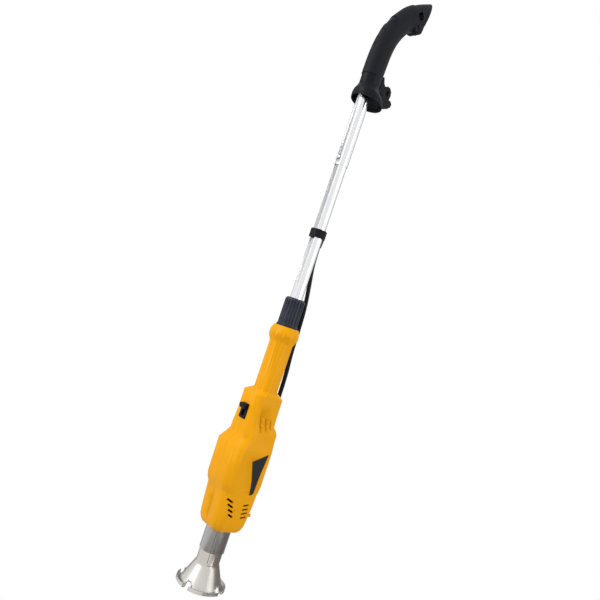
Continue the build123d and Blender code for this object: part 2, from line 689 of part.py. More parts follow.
def make_strain_relief():
    """Rubber boot: a flange under the pod's top wall, a neck, and a ribbed taper outside."""
    neck = BOOT_BASE_RADIUS - 0.4
    floor = CORD_POD_TOP - 5
    tip = CORD_RADIUS + 0.9
    with BuildPart() as boot:
        with BuildSketch(Plane.YZ):
            with BuildLine():
                Polyline(
                    (CORD_POD_Y, floor - 4),
                    (CORD_POD_Y + BOOT_BASE_RADIUS + 0.4, floor - 4),
                    (CORD_POD_Y + BOOT_BASE_RADIUS + 0.4, floor - 0.1),
                    (CORD_POD_Y + neck, floor - 0.1),
                    (CORD_POD_Y + neck, CORD_POD_TOP + 0.1),
                    (CORD_POD_Y + BOOT_BASE_RADIUS, CORD_POD_TOP + 0.1),
                    (CORD_POD_Y + tip, BOOT_TOP),
                    (CORD_POD_Y, BOOT_TOP),
                    close=True,
                )
            make_face()
        revolve(axis=Axis((0, CORD_POD_Y, 0), (0, 0, 1)))
        grooves = 4
        for index in range(grooves):
            height = CORD_POD_TOP + 7 + 6 * index
            with BuildSketch(Plane.XY.offset(height)):
                with Locations((0, CORD_POD_Y)):
                    Circle(BOOT_BASE_RADIUS + 1)
                    Circle(tip - 0.1, mode=Mode.SUBTRACT)
            extrude(amount=1.6, mode=Mode.SUBTRACT)
        with BuildSketch(Plane.XY.offset(floor - 4)):
            with Locations((0, CORD_POD_Y)):
                Circle(CORD_RADIUS + 0.02)
        extrude(amount=BOOT_TOP - floor + 4, mode=Mode.SUBTRACT)
    save(boot.part, "strain_relief")


# ---------------------------------------------------------------- pole
def make_pole():
    """Bush, lower and upper tube, lock sleeve, cord collar and the spring button."""
    with BuildPart() as bush:
        with BuildSketch(Plane.XY.offset(LOWER_TUBE_BOTTOM)):
            Circle(BUSH_RADIUS)
            Circle(TUBE_BORE, mode=Mode.SUBTRACT)
        extrude(amount=SLEEVE_TOP - 12 - LOWER_TUBE_BOTTOM)
        for height in (LOWER_TUBE_BOTTOM + 2, HOUSING_TOP - WALL - 3.2):
            with BuildSketch(Plane.XY.offset(height)):
                Circle(GRIP_RADIUS - WALL - 0.8)
                Circle(TUBE_BORE, mode=Mode.SUBTRACT)
            extrude(amount=3)
        for turn in (45, 135):
            with BuildSketch(radial_plane(turn, 0)):
                with Locations((0, SLEEVE_TOP - 12 - 9)):
                    Rectangle(1.2, 20)
            extrude(amount=BUSH_RADIUS + 2, both=True, mode=Mode.SUBTRACT)
    save(bush.part, "pole_bush")

    with BuildPart() as lower:
        with BuildSketch(Plane.XY.offset(LOWER_TUBE_BOTTOM)):
            Circle(LOWER_TUBE_RADIUS)
            Circle(LOWER_TUBE_RADIUS - LOWER_TUBE_WALL, mode=Mode.SUBTRACT)
        extrude(amount=LOWER_TUBE_TOP - LOWER_TUBE_BOTTOM)
        with BuildSketch(Plane.XZ):
            with Locations((0, BUTTON_Z)):
                Circle(BUTTON_RADIUS + GAP)
        extrude(amount=LOWER_TUBE_RADIUS + 5, mode=Mode.SUBTRACT)
    save(lower.part, "lower_tube")

    with BuildPart() as upper:
        with BuildSketch(Plane.XY.offset(UPPER_TUBE_BOTTOM)):
            Circle(UPPER_TUBE_RADIUS)
            Circle(TUBE_BORE, mode=Mode.SUBTRACT)
        extrude(amount=UPPER_TUBE_TOP - UPPER_TUBE_BOTTOM)
        with BuildSketch(Plane.XZ):
            with Locations((0, BUTTON_Z)):
                Circle(BUTTON_RADIUS + GAP)
        extrude(amount=UPPER_TUBE_RADIUS + 5, mode=Mode.SUBTRACT)
    save(upper.part, "upper_tube")

    inner = BUSH_RADIUS + GAP
    with BuildPart() as sleeve:
        with BuildSketch(Plane.XZ):
            with BuildLine():
                foot = HOUSING_TOP + GAP
                Polyline(
                    (inner, foot),
                    (SLEEVE_RADIUS + 1.2, foot),
                    (SLEEVE_RADIUS + 1.2, foot + 2.6),
                    (SLEEVE_RADIUS, foot + 3.6),
                    (SLEEVE_RADIUS, SLEEVE_TOP - 4),
                    (SLEEVE_RADIUS - 1.2, SLEEVE_TOP - 1.2),
                    (SLEEVE_RADIUS - 3.4, SLEEVE_TOP),
                    (TUBE_BORE + 0.02, SLEEVE_TOP),
                    (TUBE_BORE + 0.02, SLEEVE_TOP - 10),
                    (inner, SLEEVE_TOP - 11),
                    close=True,
                )
            make_face()
        revolve(axis=Axis.Z)
        with BuildSketch(Plane.XY.offset(HOUSING_TOP + GAP + 5)):
            with PolarLocations(SLEEVE_RADIUS + 0.5, SLEEVE_FLUTES):
                Circle(1.3)
        extrude(amount=SLEEVE_TOP - HOUSING_TOP - 10, mode=Mode.SUBTRACT)
    save(sleeve.part, "lock_sleeve")

    clip_radius = CORD_RADIUS + 2.0
    cord_at = LOWER_TUBE_RADIUS + 0.4 + CORD_RADIUS
    bottom = COLLAR_Z - COLLAR_LENGTH / 2
    with BuildPart() as collar:
        with BuildSketch(Plane.XY.offset(bottom)):
            Circle(COLLAR_RADIUS)
        extrude(amount=COLLAR_LENGTH)
        chamfer(collar.edges().group_by(Axis.Z)[-1], 1.0)
        with BuildSketch(Plane.XY.offset(bottom - CLIP_DROP)):
            with Locations(polar(cord_at, CLIP_TURN)):
                Circle(clip_radius - 1.0)
        with BuildSketch(Plane.XY.offset(bottom)):
            with Locations(polar(cord_at, CLIP_TURN)):
                Circle(clip_radius)
        loft()
        with BuildSketch(Plane.XY.offset(bottom)):
            with Locations(polar(cord_at, CLIP_TURN)):
                Circle(clip_radius)
        extrude(amount=COLLAR_LENGTH)
        with BuildSketch(Plane.XY.offset(bottom - CLIP_DROP)):
            Circle(TUBE_BORE)
            with Locations(polar(cord_at, CLIP_TURN)):
                Circle(CORD_RADIUS + 0.05)
        extrude(amount=COLLAR_LENGTH + CLIP_DROP, mode=Mode.SUBTRACT)
    save(collar.part, "cord_collar")

    stem = BUTTON_RADIUS - 1
    with BuildPart() as button:
        with BuildSketch(Plane.XZ.offset(LOWER_TUBE_RADIUS - LOWER_TUBE_WALL - 2.6)):
            with Locations((0, BUTTON_Z)):
                Circle(BUTTON_RADIUS)
        extrude(amount=UPPER_TUBE_RADIUS + BUTTON_PROUD - LOWER_TUBE_RADIUS + LOWER_TUBE_WALL + 2.6)
        fillet(button.edges().group_by(Axis.Y)[0], 1.4)
    save(button.part, "snap_button")

    blade = 0.6
    rear = LOWER_TUBE_RADIUS - LOWER_TUBE_WALL - 1.8
    front = -(LOWER_TUBE_RADIUS - LOWER_TUBE_WALL - 2.6 - blade)
    with BuildPart() as spring:
        with BuildSketch(Plane.YZ.offset(-stem)):
            with BuildLine():
                arm = [(front, BUTTON_Z - 5), (front, BUTTON_Z + 8)]
                Polyline(*arm, (0, BUTTON_Z + 34), (rear, BUTTON_Z + 10))
            trace(line_width=blade)
        extrude(amount=2 * stem)
    save(spring.part, "snap_spring")


# ---------------------------------------------------------------- handle
# Sections up the handle: Y and Z of the middle, lean from the vertical, half depth, half width.
HANDLE_SECTIONS = [
    (2.0, HANDLE_BOTTOM, 0.0, 17.8, HANDLE_SIDE),
    (2.6, 862.0, 1.0, 18.5, HANDLE_SIDE),
    (4.4, 890.0, 7.0, 18.2, HANDLE_SIDE),
    (9.4, 914.0, 16.0, 18.3, HANDLE_SIDE - 0.3),
    (17.8, 934.0, 25.0, 18.6, HANDLE_SIDE - 0.6),
    (27.6, 949.0, 36.0, 18.4, HANDLE_SIDE - 1.0),
    (38.0, 960.5, 52.0, 20.0, HANDLE_SIDE - 1.5),
    (52.0, 969.0, 70.0, 23.7, HANDLE_SIDE - 2.1),
    (66.0, 976.0, 82.0, 27.5, HANDLE_SIDE - 2.8),
    (76.0, 979.5, 82.0, 30.0, HANDLE_SIDE - 3.5),
]


def between_rows(rows, parts):
    """Rows on a smooth curve through the given rows, with a number of parts between neighbours."""
    smooth = []
    for index in range(len(rows) - 1):
        before, start = rows[max(index - 1, 0)], rows[index]
        end, after = rows[index + 1], rows[min(index + 2, len(rows) - 1)]
        for step in range(parts):
            t = step / parts
            smooth.append(
                tuple(
                    b + t * (c - a + t * (2 * a - 5 * b + 4 * c - d + t * (3 * b - 3 * c + d - a))) / 2
                    for a, b, c, d in zip(before, start, end, after)
                )
            )
    return [*smooth, rows[-1]]


def handle_form(grow, sections):
    """Form through some of the handle's sections, grown or shrunk all round."""
    with BuildPart() as form:
        for y, z, lean, depth, side in between_rows(sections, 3):
            tangent = (0, sin(radians(lean)), cos(radians(lean)))
            with BuildSketch(Plane(origin=(0, y, z), x_dir=(1, 0, 0), z_dir=tangent)):
                Ellipse(side + grow, depth + grow)
        loft(ruled=True)
    return form.part


HANDLE_SCREWS = [(6.0, 903.0), (26.0, 944.0), (54.2, 956.4)]


def make_handle():
    """Two half shells, the soft grip on the outer side, and their screws."""
    form = handle_form(0, HANDLE_SECTIONS)
    with BuildPart() as pommel:
        with BuildSketch(Plane.YZ.offset(-11.5)):
            with Locations((55.0, 956.5)):
                Circle(11.5)
        extrude(amount=23)
        fillet(pommel.edges().filter_by(GeomType.CIRCLE), 2.5)
    with BuildPart() as hollow:
        add(handle_form(-HANDLE_WALL, HANDLE_SECTIONS[:6]))
        # ribs that carry the upper tube, and posts for the screws
        for height in (HANDLE_BOTTOM - 1, 852.0, UPPER_TUBE_TOP - 3):
            with BuildSketch(Plane.XY.offset(height)):
                Circle(60)
            extrude(amount=4, mode=Mode.SUBTRACT)
        with BuildSketch(Plane.YZ.offset(-30)):
            with Locations(*HANDLE_SCREWS):
                Circle(SCREW_HEAD_RADIUS + 1.2)
        extrude(amount=60, mode=Mode.SUBTRACT)
        with BuildSketch(Plane.XY.offset(HANDLE_BOTTOM - 1)):
            Circle(UPPER_TUBE_RADIUS + 0.05)
        extrude(amount=UPPER_TUBE_TOP - HANDLE_BOTTOM + 1)
        # end face, slightly hollow
        with BuildSketch(Plane.YZ.offset(-30)):
            with BuildLine():
                ThreePointArc((62.0, 940), (66.6, 972), (74.0, 1012))
                Polyline((74.0, 1012), (100, 1012), (100, 940), (62.0, 940))
            make_face()
        extrude(amount=60)
        # hanging hole, a round hole with a peak
        peak = HANG_HOLE_RADIUS * 1.38
        reach = HANG_HOLE_RADIUS / 1.38
        flank = (HANG_HOLE_RADIUS**2 - reach**2) ** 0.5
        with BuildSketch(Plane.YZ.offset(-30)):
            with Locations((HANG_HOLE_Y, HANG_HOLE_Z)):
                Circle(HANG_HOLE_RADIUS)
            with BuildLine():
                Polyline(
                    (HANG_HOLE_Y - flank, HANG_HOLE_Z + reach),
                    (HANG_HOLE_Y, HANG_HOLE_Z + peak),
                    (HANG_HOLE_Y + flank, HANG_HOLE_Z + reach),
                    close=True,
                )
            make_face()
        extrude(amount=60)
        # the screws' heads and shanks
        with BuildSketch(Plane.YZ.offset(-30)):
            with Locations(*HANDLE_SCREWS):
                Circle(SCREW_HEAD_RADIUS + 0.2)
        extrude(amount=30 - 7)
        with BuildSketch(Plane.YZ.offset(-7.5)):
            with Locations(*HANDLE_SCREWS):
                Circle(SCREW_RADIUS + 0.1)
        extrude(amount=7.5 + 8.5)
    with BuildPart() as whole:
        add(form)
        add(pommel.part)
        # round boss over the last screw's end
        with BuildSketch(Plane.YZ.offset(9)):
            with Locations(HANDLE_SCREWS[-1]):
                Circle(3.2)
        extrude(amount=3.6)
        add(hollow.part, mode=Mode.SUBTRACT)
    grooved = grip_shell(form)
    for name, side in (("handle_left", -1), ("handle_right", 1)):
        with BuildPart() as half:
            add(whole.part)
            with BuildSketch(Plane.YZ.offset(side * SEAM)):
                with Locations((20, 920)):
                    Rectangle(200, 300)
            extrude(amount=side * 50, mode=Mode.INTERSECT)
        save(half.part, name)
    save(grooved, "soft_grip")
    with BuildPart() as screws:
        for y, z in HANDLE_SCREWS:
            with BuildSketch(Plane.YZ.offset(-9)):
                with Locations((y, z)):
                    Circle(SCREW_HEAD_RADIUS)
            extrude(amount=2)
            with BuildSketch(Plane.YZ.offset(-7)):
                with Locations((y, z)):
                    Circle(SCREW_RADIUS)
            extrude(amount=7 + 8)
            with BuildSketch(Plane.YZ.offset(-9)):
                with Locations((y, z)):
                    Rectangle(3.2, 0.8)
                    Rectangle(0.8, 3.2)
            extrude(amount=1, mode=Mode.SUBTRACT)
    save(screws.part, "handle_screws")


def grip_shell(form):
    """Soft pad on the outer side, with shallow finger scallops across it."""
    with BuildPart() as pad:
        add(handle_form(GRIP_PAD, HANDLE_SECTIONS))
        add(form, mode=Mode.SUBTRACT)
        with BuildSketch(Plane.YZ):
            with BuildLine():
                edge = [(-2, 842), (3, 890), (14, 930), (30, 950), (37, 1000)]
                Polyline((-40, 842), *edge, (-40, 1000), close=True)
            make_face()
        extrude(amount=40, both=True, mode=Mode.INTERSECT)
        for y, z, lean in ((-27.6, 864.5, 3), (-24.6, 889.5, 9), (-17.4, 915.5, 20), (-4.4, 941, 33)):
            with BuildSketch(Plane.YZ):
                with Locations((y, z)):
                    Ellipse(11.2, 10.5, rotation=-lean)
            extrude(amount=40, both=True, mode=Mode.SUBTRACT)
    return pad.part


def make_guard():
    """Dished hand guard, its rim dropping to the back, and the cord hook behind it."""
    # height, shift to the back, radius and tilt of each ring from the rim up
    rings = [
        (GUARD_RIM_Z, GUARD_SHIFT, GUARD_RADIUS, GUARD_TILT),
        (GUARD_RIM_Z + 6, GUARD_SHIFT - 0.6, GUARD_RADIUS, GUARD_TILT),
        (GUARD_RIM_Z + 13, GUARD_SHIFT - 2.6, GUARD_RADIUS - 2.8, 0.8 * GUARD_TILT),
        (GUARD_RIM_Z + 19, GUARD_SHIFT - 5, GUARD_RADIUS - 7.4, 0.4 * GUARD_TILT),
        (HANDLE_BOTTOM - 0.2, 2.0, 17.2, 0),
    ]

    def dish(grow, drop):
        with BuildPart() as form:
            for height, shift, radius, tilt in between_rows(rings, 2):
                facing = (0, sin(radians(tilt)), cos(radians(tilt)))
                with BuildSketch(Plane(origin=(0, shift, height - drop), z_dir=facing)):
                    Circle(radius + grow)
            loft(ruled=True)
        return form.part

    with BuildPart() as guard:
        add(dish(0, 0))
        add(dish(-GUARD_WALL, 2.5), mode=Mode.SUBTRACT)
        with BuildSketch(Plane.XY.offset(GUARD_RIM_Z + 12)):
            Circle(UPPER_TUBE_RADIUS + 3)
        socket = extrude(amount=HANDLE_BOTTOM - 0.2 - GUARD_RIM_Z - 12, mode=Mode.PRIVATE)
        add(socket & dish(0, 0))
        with BuildSketch(Plane.XY.offset(GUARD_RIM_Z - 15)):
            Circle(UPPER_TUBE_RADIUS + 0.05)
        extrude(amount=60, mode=Mode.SUBTRACT)
    save(guard.part, "hand_guard")

    with BuildPart() as hook:
        with BuildSketch(Plane.YZ):
            with BuildLine():
                Polyline(
                    (GUARD_SHIFT + GUARD_RADIUS - 1, GUARD_RIM_Z - 1),
                    (38, 805),
                    (44.5, 809.5),
                    (50, 811),
                    (55.5, 816),
                    (56.5, 821.5),
                    (52.5, 825.2),
                    (47.5, 825.6),
                    (48.8, 832),
                    (47.4, 839),
                    (42.5, 843.6),
                    (36.5, 843.6),
                    (32, 840),
                    (27.5, 843.5),
                    (23.6, 852.5),
                    (21.9, 852),
                    (21.4, HANDLE_BOTTOM + 1),
                    (20.6, HANDLE_BOTTOM - 3),
                    (24, 816),
                    (29, 809),
                    close=True,
                )
            make_face()
            with Locations((HOOK_HOLE_Y, HOOK_HOLE_Z)):
                SlotOverall(10, 4.8, rotation=90, mode=Mode.SUBTRACT)
        extrude(amount=HOOK_SIDE, both=True)
        add(guard.part, mode=Mode.SUBTRACT)
    save(hook.part, "cord_hook")


# ---------------------------------------------------------------- cord
CORD_ROUTE = [
    (0.0, CORD_POD_Y, CORD_POD_BOTTOM + 10),
    (0.0, CORD_POD_Y, 318.0),
    (0.2, 30.0, 352.0),
    (-1.2, 27.4, 384.0),
    (-1.8, 27.3, 424.0),
    (-1.6, 24.6, 462.0),
    (-2.4, 18.6, 498.0),
    (-4.23, 13.03, 532.0),
    (-4.23, 13.03, 594.0),
    (-10.5, 9.9, 628.0),
    (-13.0, 10.9, 664.0),
    (-42.4, 35.6, 686.0),
    (-71.5, 60.0, 663.0),
    (-71.0, 59.6, 612.0),
    (-70.4, 59.0, 552.0),
    (-69.8, 58.6, 488.0),
    (-69.3, 58.1, 422.0),
    (-69.0, 57.9, 362.0),
    (-68.9, 57.76, HANK_TOP),
]


def corner_radii(points):
    """As large an arc at each corner as its two runs allow."""
    radii = []
    for before, corner, after in zip(points, points[1:], points[2:]):
        first, second = Vector(*corner) - Vector(*before), Vector(*after) - Vector(*corner)
        turn = first.get_angle(second)
        radii.append(0.45 * min(first.length, second.length) / tan(radians(turn / 2)))
    return radii


def make_cord():
    """The mains cord up the back, through the collar, and over to the tied hank behind."""
    radii = corner_radii(CORD_ROUTE)
    with BuildPart() as cord:
        with BuildLine():
            FilletPolyline(*CORD_ROUTE, radius=radii)
        with BuildSketch(Plane(origin=CORD_ROUTE[0], z_dir=(0, 0, 1))):
            Circle(CORD_RADIUS)
        sweep()
    save(cord.part, "power_cord")


PLUG_SECTIONS = (  # share of the plug's length below its top, width and thickness as plug radii
    (1, 2.0, 1.5),
    (0.8, 2.0, 1.5),
    (0.5, 1.7, 1.35),
    (0.2, 1.1, 1.0),
    (0, 0.5, 0.48),
)


def hank_plane(height):
    """Level plane through the hank at a height, with its X along the hank's wide side."""
    return Plane(origin=(HANK_X, HANK_Y, height), x_dir=(*polar(1, HANK_TURN), 0), z_dir=(0, 0, 1))


def make_hank():
    """The stored length, folded in line with the pole and tied at its waist, then tail and plug."""
    waist = HANK_TOP - HANK_LENGTH / 2
    half = HANK_LENGTH / 2
    deep = HANK_DEPTH + CORD_RADIUS
    waist_side = 2 * CORD_RADIUS + 0.4
    widths = ((1.0, 13.0), (0.93, 20.0), (0.7, 24.5), (0.3, 13.0))
    upper = [(share * half, side, deep) for share, side in widths] + [(0.1 * half, waist_side, deep - 2)]
    profile = [(waist + away, side, depth) for away, side, depth in upper]
    profile += [(waist - away, side, depth) for away, side, depth in reversed(upper)]
    with BuildPart() as hank:
        for height, side, depth in profile:
            with BuildSketch(hank_plane(height)):
                RectangleRounded(2 * side, 2 * depth, waist_side - 1)
        loft(ruled=True)
    save(hank.part, "cord_hank")

    with BuildPart() as tie:
        with BuildSketch(hank_plane(waist - TIE_HEIGHT / 2)):
            RectangleRounded(2 * waist_side, 2 * deep - 4, waist_side - 1)
            offset(amount=TIE_THICKNESS)
            RectangleRounded(2 * waist_side, 2 * deep - 4, waist_side - 1, mode=Mode.SUBTRACT)
        extrude(amount=TIE_HEIGHT)
    save(tie.part, "cord_tie")

    plug_top = HANK_TOP - HANK_LENGTH - TAIL_LENGTH
    with BuildPart() as tail:
        with BuildSketch(hank_plane(plug_top)):
            with Locations((0, HANK_DEPTH)):
                Circle(CORD_RADIUS)
        extrude(amount=TAIL_LENGTH)
    save(tail.part, "cord_tail")

    with BuildPart() as plug:
        for share, width, thickness in PLUG_SECTIONS:
            with BuildSketch(hank_plane(plug_top - PLUG_LENGTH * share)):
                with Locations((0, HANK_DEPTH)):
                    SlotOverall(width * PLUG_RADIUS, thickness * PLUG_RADIUS)
        loft(ruled=True)
    save(plug.part, "plug_body")

    with BuildPart() as pins:
        with BuildSketch(hank_plane(plug_top - PLUG_LENGTH - PIN_LENGTH)):
            with Locations((-PIN_SPACING / 2, HANK_DEPTH), (PIN_SPACING / 2, HANK_DEPTH)):
                Circle(PIN_RADIUS)
        extrude(amount=PIN_LENGTH)
        fillet(pins.edges().group_by(Axis.Z)[0], 1.2)
    save(pins.part, "plug_pins")


def make_cord_clamp():
    """Split ring on the pod's floor that grips the cord."""
    with BuildPart() as clamp:
        with BuildSketch(Plane.XY.offset(CORD_POD_BOTTOM + WALL)):
            with Locations((0, CORD_POD_Y)):
                Circle(BOOT_BASE_RADIUS + 0.6)
                Circle(CORD_RADIUS + 0.02, mode=Mode.SUBTRACT)
        extrude(amount=14)
        with BuildSketch(Plane.XZ.offset(-CORD_POD_Y - 1)):
            with Locations((0, CORD_POD_BOTTOM + WALL + 7)):
                Rectangle(1.2, 20)
        extrude(amount=-8, mode=Mode.SUBTRACT)
    save(clamp.part, "cord_clamp")


# ---------------------------------------------------------------- build everything
make_cone_nozzle()
make_tubes()
make_heater()
make_fan()
make_motor()
make_housing()
make_label()
make_switch()
make_electrics()
make_strain_relief()
make_pole()
make_handle()
make_guard()
make_cord()
make_hank()
make_cord_clamp()
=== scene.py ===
# %% [markdown]
# # A hot-air weed burner, dressed for a studio
# The solid model gives every rigid piece its shape and place. This lesson adds what a solid model
# lacks: finishes that vary over each surface, a mains lead that hangs in a soft curve, and a plain
# studio. Everything is in metres, with the origin at the nozzle's mouth and +Z up the pole.

# %% Tools and the frame
import json
import math

import bpy
from mathutils import Matrix, Vector


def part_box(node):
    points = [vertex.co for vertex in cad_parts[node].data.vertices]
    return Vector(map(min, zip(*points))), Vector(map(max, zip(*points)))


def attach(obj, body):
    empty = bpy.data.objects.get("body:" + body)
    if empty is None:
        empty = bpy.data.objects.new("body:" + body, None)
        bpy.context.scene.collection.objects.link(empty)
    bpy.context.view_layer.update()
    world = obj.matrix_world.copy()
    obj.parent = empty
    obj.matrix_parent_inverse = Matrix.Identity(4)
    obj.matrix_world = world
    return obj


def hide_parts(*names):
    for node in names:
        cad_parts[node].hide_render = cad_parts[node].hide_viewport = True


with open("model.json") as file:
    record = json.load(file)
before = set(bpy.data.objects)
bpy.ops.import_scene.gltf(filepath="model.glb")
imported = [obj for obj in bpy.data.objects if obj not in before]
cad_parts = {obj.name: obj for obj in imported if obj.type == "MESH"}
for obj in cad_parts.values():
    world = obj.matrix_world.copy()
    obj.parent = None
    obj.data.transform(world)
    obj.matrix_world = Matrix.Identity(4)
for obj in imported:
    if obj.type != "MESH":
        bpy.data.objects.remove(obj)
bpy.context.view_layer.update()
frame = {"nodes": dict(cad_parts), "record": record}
BODY_NODES = frame["record"]["behaviour"]["bodies"]
ITS_BODY = {node: body for body, nodes in BODY_NODES.items() for node in nodes}

# %% [markdown]
# ## Shader maths as plain Python
# A finish is a small network of nodes. Wiring each Math node by hand hides the idea, so one class
# wraps a socket and overloads the operators: `0.2 + mask * 0.5` then adds its own Math nodes. A second
# class builds one material and has one method for any other node.


# %% A signal is a number that changes over the surface
class Signal:
    def __init__(self, finish, socket):
        self.finish, self.socket = finish, socket

    def _through(self, kind, settings, values):
        return Signal(self.finish, self.finish.node(kind, settings, values))

    def __add__(self, other):
        return self._through("ShaderNodeMath", {"operation": "ADD"}, [self, other])

    def __mul__(self, other):
        return self._through("ShaderNodeMath", {"operation": "MULTIPLY"}, [self, other])

    __radd__, __rmul__ = __add__, __mul__

    def above(self, low, high):
        """0 below low, 1 above high, and a smooth step between them."""
        smooth = {"interpolation_type": "SMOOTHSTEP"}
        return self._through("ShaderNodeMapRange", smooth, [self, low, high, 0.0, 1.0])


# %% A finish is one material
class Finish:
    def __init__(self, name, colour, roughness, metallic=0.0, **constants):
        self.material = bpy.data.materials.new(name)
        self.material.use_nodes = True
        self.tree = self.material.node_tree
        self.shader = self.tree.nodes["Principled BSDF"]
        self.set("Base Color", (*colour, 1.0))
        self.set("Roughness", roughness)
        self.set("Metallic", metallic)
        for socket, value in constants.items():
            self.set(socket.replace("_", " "), value)
        self.place = self.node("ShaderNodeTexCoord", {}, [], "Object")

    def plug(self, socket, value):
        value = value.socket if isinstance(value, Signal) else value
        if isinstance(value, bpy.types.NodeSocket):
            self.tree.links.new(value, socket)
        else:
            socket.default_value = value

    def set(self, name, value):
        self.plug(self.shader.inputs[name], value)

    def node(self, kind, settings, values, output=0):
        made = self.tree.nodes.new(kind)
        for key, value in settings.items():
            setattr(made, key, value)
        pairs = values.items() if isinstance(values, dict) else enumerate(values)
        for key, value in pairs:
            self.plug(made.inputs[key], value)
        return made.outputs[output]

    def noise(self, scale, detail=2.0, stretch=(1, 1, 1)):
        """Cloudy signal from 0 to 1. Scale is in blots per metre, stretched along an axis if asked."""
        where = self.node("ShaderNodeMapping", {}, {"Vector": self.place, "Scale": stretch})
        values = {"Vector": where, "Scale": scale, "Detail": detail}
        return Signal(self, self.node("ShaderNodeTexNoise", {}, values))

    def along(self, axis):
        """The place along X, Y or Z, in metres."""
        return Signal(self, self.node("ShaderNodeSeparateXYZ", {}, [self.place], axis))

    def tint(self, mask, colour):
        """Lays another colour over the finish where the mask is 1."""
        under = self.shader.inputs["Base Color"]
        under = under.links[0].from_socket if under.is_linked else tuple(under.default_value)
        values = {0: mask, 6: under, 7: (*colour, 1.0)}
        self.set("Base Color", self.node("ShaderNodeMix", {"data_type": "RGBA"}, values, 2))

    def bump(self, height, depth):
        """Raises the surface by the signal, over a depth in metres."""
        normal = self.shader.inputs["Normal"]
        values = {"Height": height, "Distance": depth}
        if normal.is_linked:
            values["Normal"] = normal.links[0].from_socket
        self.set("Normal", self.node("ShaderNodeBump", {}, values))


# %% [markdown]
# ## Moulded plastics
# The housing and the handle are injection-moulded in a warm yellow with a fine spark-eroded grain.
# A faint cloudiness in colour and gloss keeps a large surface from looking like paint on glass, and a
# very shallow bump gives the grain. The black pieces are the same plastic family, a little duller.


# %% Yellow and black mouldings
CLOUD_SWING = 0.1  # how far the clouds move the roughness, in all
CLOUD_TINT, CLOUD_SHADE = 0.25, 0.82  # how much of a cloud shows, and how dark it is


def moulded(name, colour, roughness, grain=0.00004, **constants):
    """A moulding's finish. Grain is the depth of its spark-eroded pits, in metres."""
    finish = Finish(name, colour, roughness, **constants)
    clouds = finish.noise(28, 3)
    finish.set("Roughness", roughness - CLOUD_SWING / 2 + clouds * CLOUD_SWING)
    finish.tint(clouds.above(0.35, 0.75) * CLOUD_TINT, [channel * CLOUD_SHADE for channel in colour])
    finish.bump(finish.noise(2600, 1), grain)
    return finish


yellow = moulded("yellow_moulding", (0.93, 0.405, 0.002), 0.40, Specular_IOR_Level=0.13)
black = moulded("black_moulding", (0.007, 0.009, 0.013), 0.42, Specular_IOR_Level=0.09)
sleeve_black = moulded("sleeve_moulding", (0.018, 0.023, 0.036), 0.45, Specular_IOR_Level=0.3)
grey = moulded("grey_moulding", (0.16, 0.16, 0.17), 0.5)
bare_plate = moulded("bare_plate", (0.020, 0.020, 0.022), 0.3, grain=0.00001)
board = moulded("circuit_board", (0.02, 0.12, 0.05), 0.45)

# %% [markdown]
# ## Rubber
# The grip pad, the cord, its boot and the plug are soft. Rubber scatters light widely, so it is rough,
# with a fine dusty mottling that lifts its black a little.


# %% Soft pieces
DUST_SWING = 0.12
DUST_TINT, DUST_LIFT, DUST_GREY = 0.3, 1.5, 0.003
RUBBER_GRAIN = 0.00005


def rubbery(name, colour, roughness=0.62):
    finish = Finish(name, colour, roughness, Specular_IOR_Level=0.14)
    dust = finish.noise(90, 4)
    dusty = [channel * DUST_LIFT + DUST_GREY for channel in colour]
    finish.tint(dust.above(0.45, 0.8) * DUST_TINT, dusty)
    finish.set("Roughness", roughness - DUST_SWING / 2 + dust * DUST_SWING)
    finish.bump(finish.noise(1800, 2), RUBBER_GRAIN)
    return finish


grip_rubber = rubbery("grip_rubber", (0.007, 0.009, 0.012))
boot_rubber = rubbery("boot_rubber", (0.008, 0.008, 0.009), 0.5)
lead_rubber = rubbery("lead_rubber", (0.008, 0.008, 0.009), 0.45)

# %% [markdown]
# ## Metals
# The pole is bright drawn tube: almost a mirror, with faint lines along its length. The nozzle is spun
# from sheet, so its fine lines run round the axis, and heat has browned it towards the neck. Lines
# round the axis are noise stretched flat, because noise that changes fast in Z and hardly in X and Y
# draws rings.


# %% Drawn, spun and plated metal
LINE_DEPTH = 0.00002
CLOUD_WEAR = 0.6  # of the wear that the lines make


def metal(name, colour, roughness, lines=(1, 1, 1), scale=300, wear=0.10):
    """A bare metal. Lines stretches its noise, and wear is how far its roughness moves."""
    finish = Finish(name, colour, roughness, 1.0)
    streaks = finish.noise(scale, 3, lines)
    clouds = finish.noise(22, 2)
    finish.set("Roughness", roughness - wear / 2 + streaks * wear + clouds * wear * CLOUD_WEAR)
    finish.bump(streaks, LINE_DEPTH)
    return finish


DRAWN_LINES, SPUN_LINES = (1, 1, 0.02), (0.04, 0.04, 1)
tube_metal = metal("drawn_tube", (0.78, 0.79, 0.81), 0.17, DRAWN_LINES, 900)
plated = metal("plated_steel", (0.62, 0.62, 0.64), 0.3)
shield_metal = metal("rolled_tube", (0.63, 0.62, 0.60), 0.30, SPUN_LINES, 1500)
spun_metal = metal("spun_nozzle", (0.60, 0.58, 0.55), 0.30, SPUN_LINES, 1400, 0.14)
HEAT_STARTS, HEAT_FULL = 0.010, 0.050  # heights above the mouth
blotches = 0.55 + 0.45 * spun_metal.noise(35, 3)
heat = spun_metal.along("Z").above(HEAT_STARTS, HEAT_FULL) * blotches
spun_metal.tint(heat * 0.35, (0.46, 0.39, 0.32))
bronze = metal("sintered_bronze", (0.55, 0.38, 0.16), 0.45)
wire = metal("resistance_wire", (0.28, 0.25, 0.23), 0.5)
iron = metal("ferrite", (0.06, 0.06, 0.065), 0.6)

# %% Heater's ceramic and mica
ceramic = moulded("ceramic", (0.72, 0.69, 0.62), 0.7, grain=0.00008)
mica = moulded("mica", (0.40, 0.33, 0.22), 0.55)

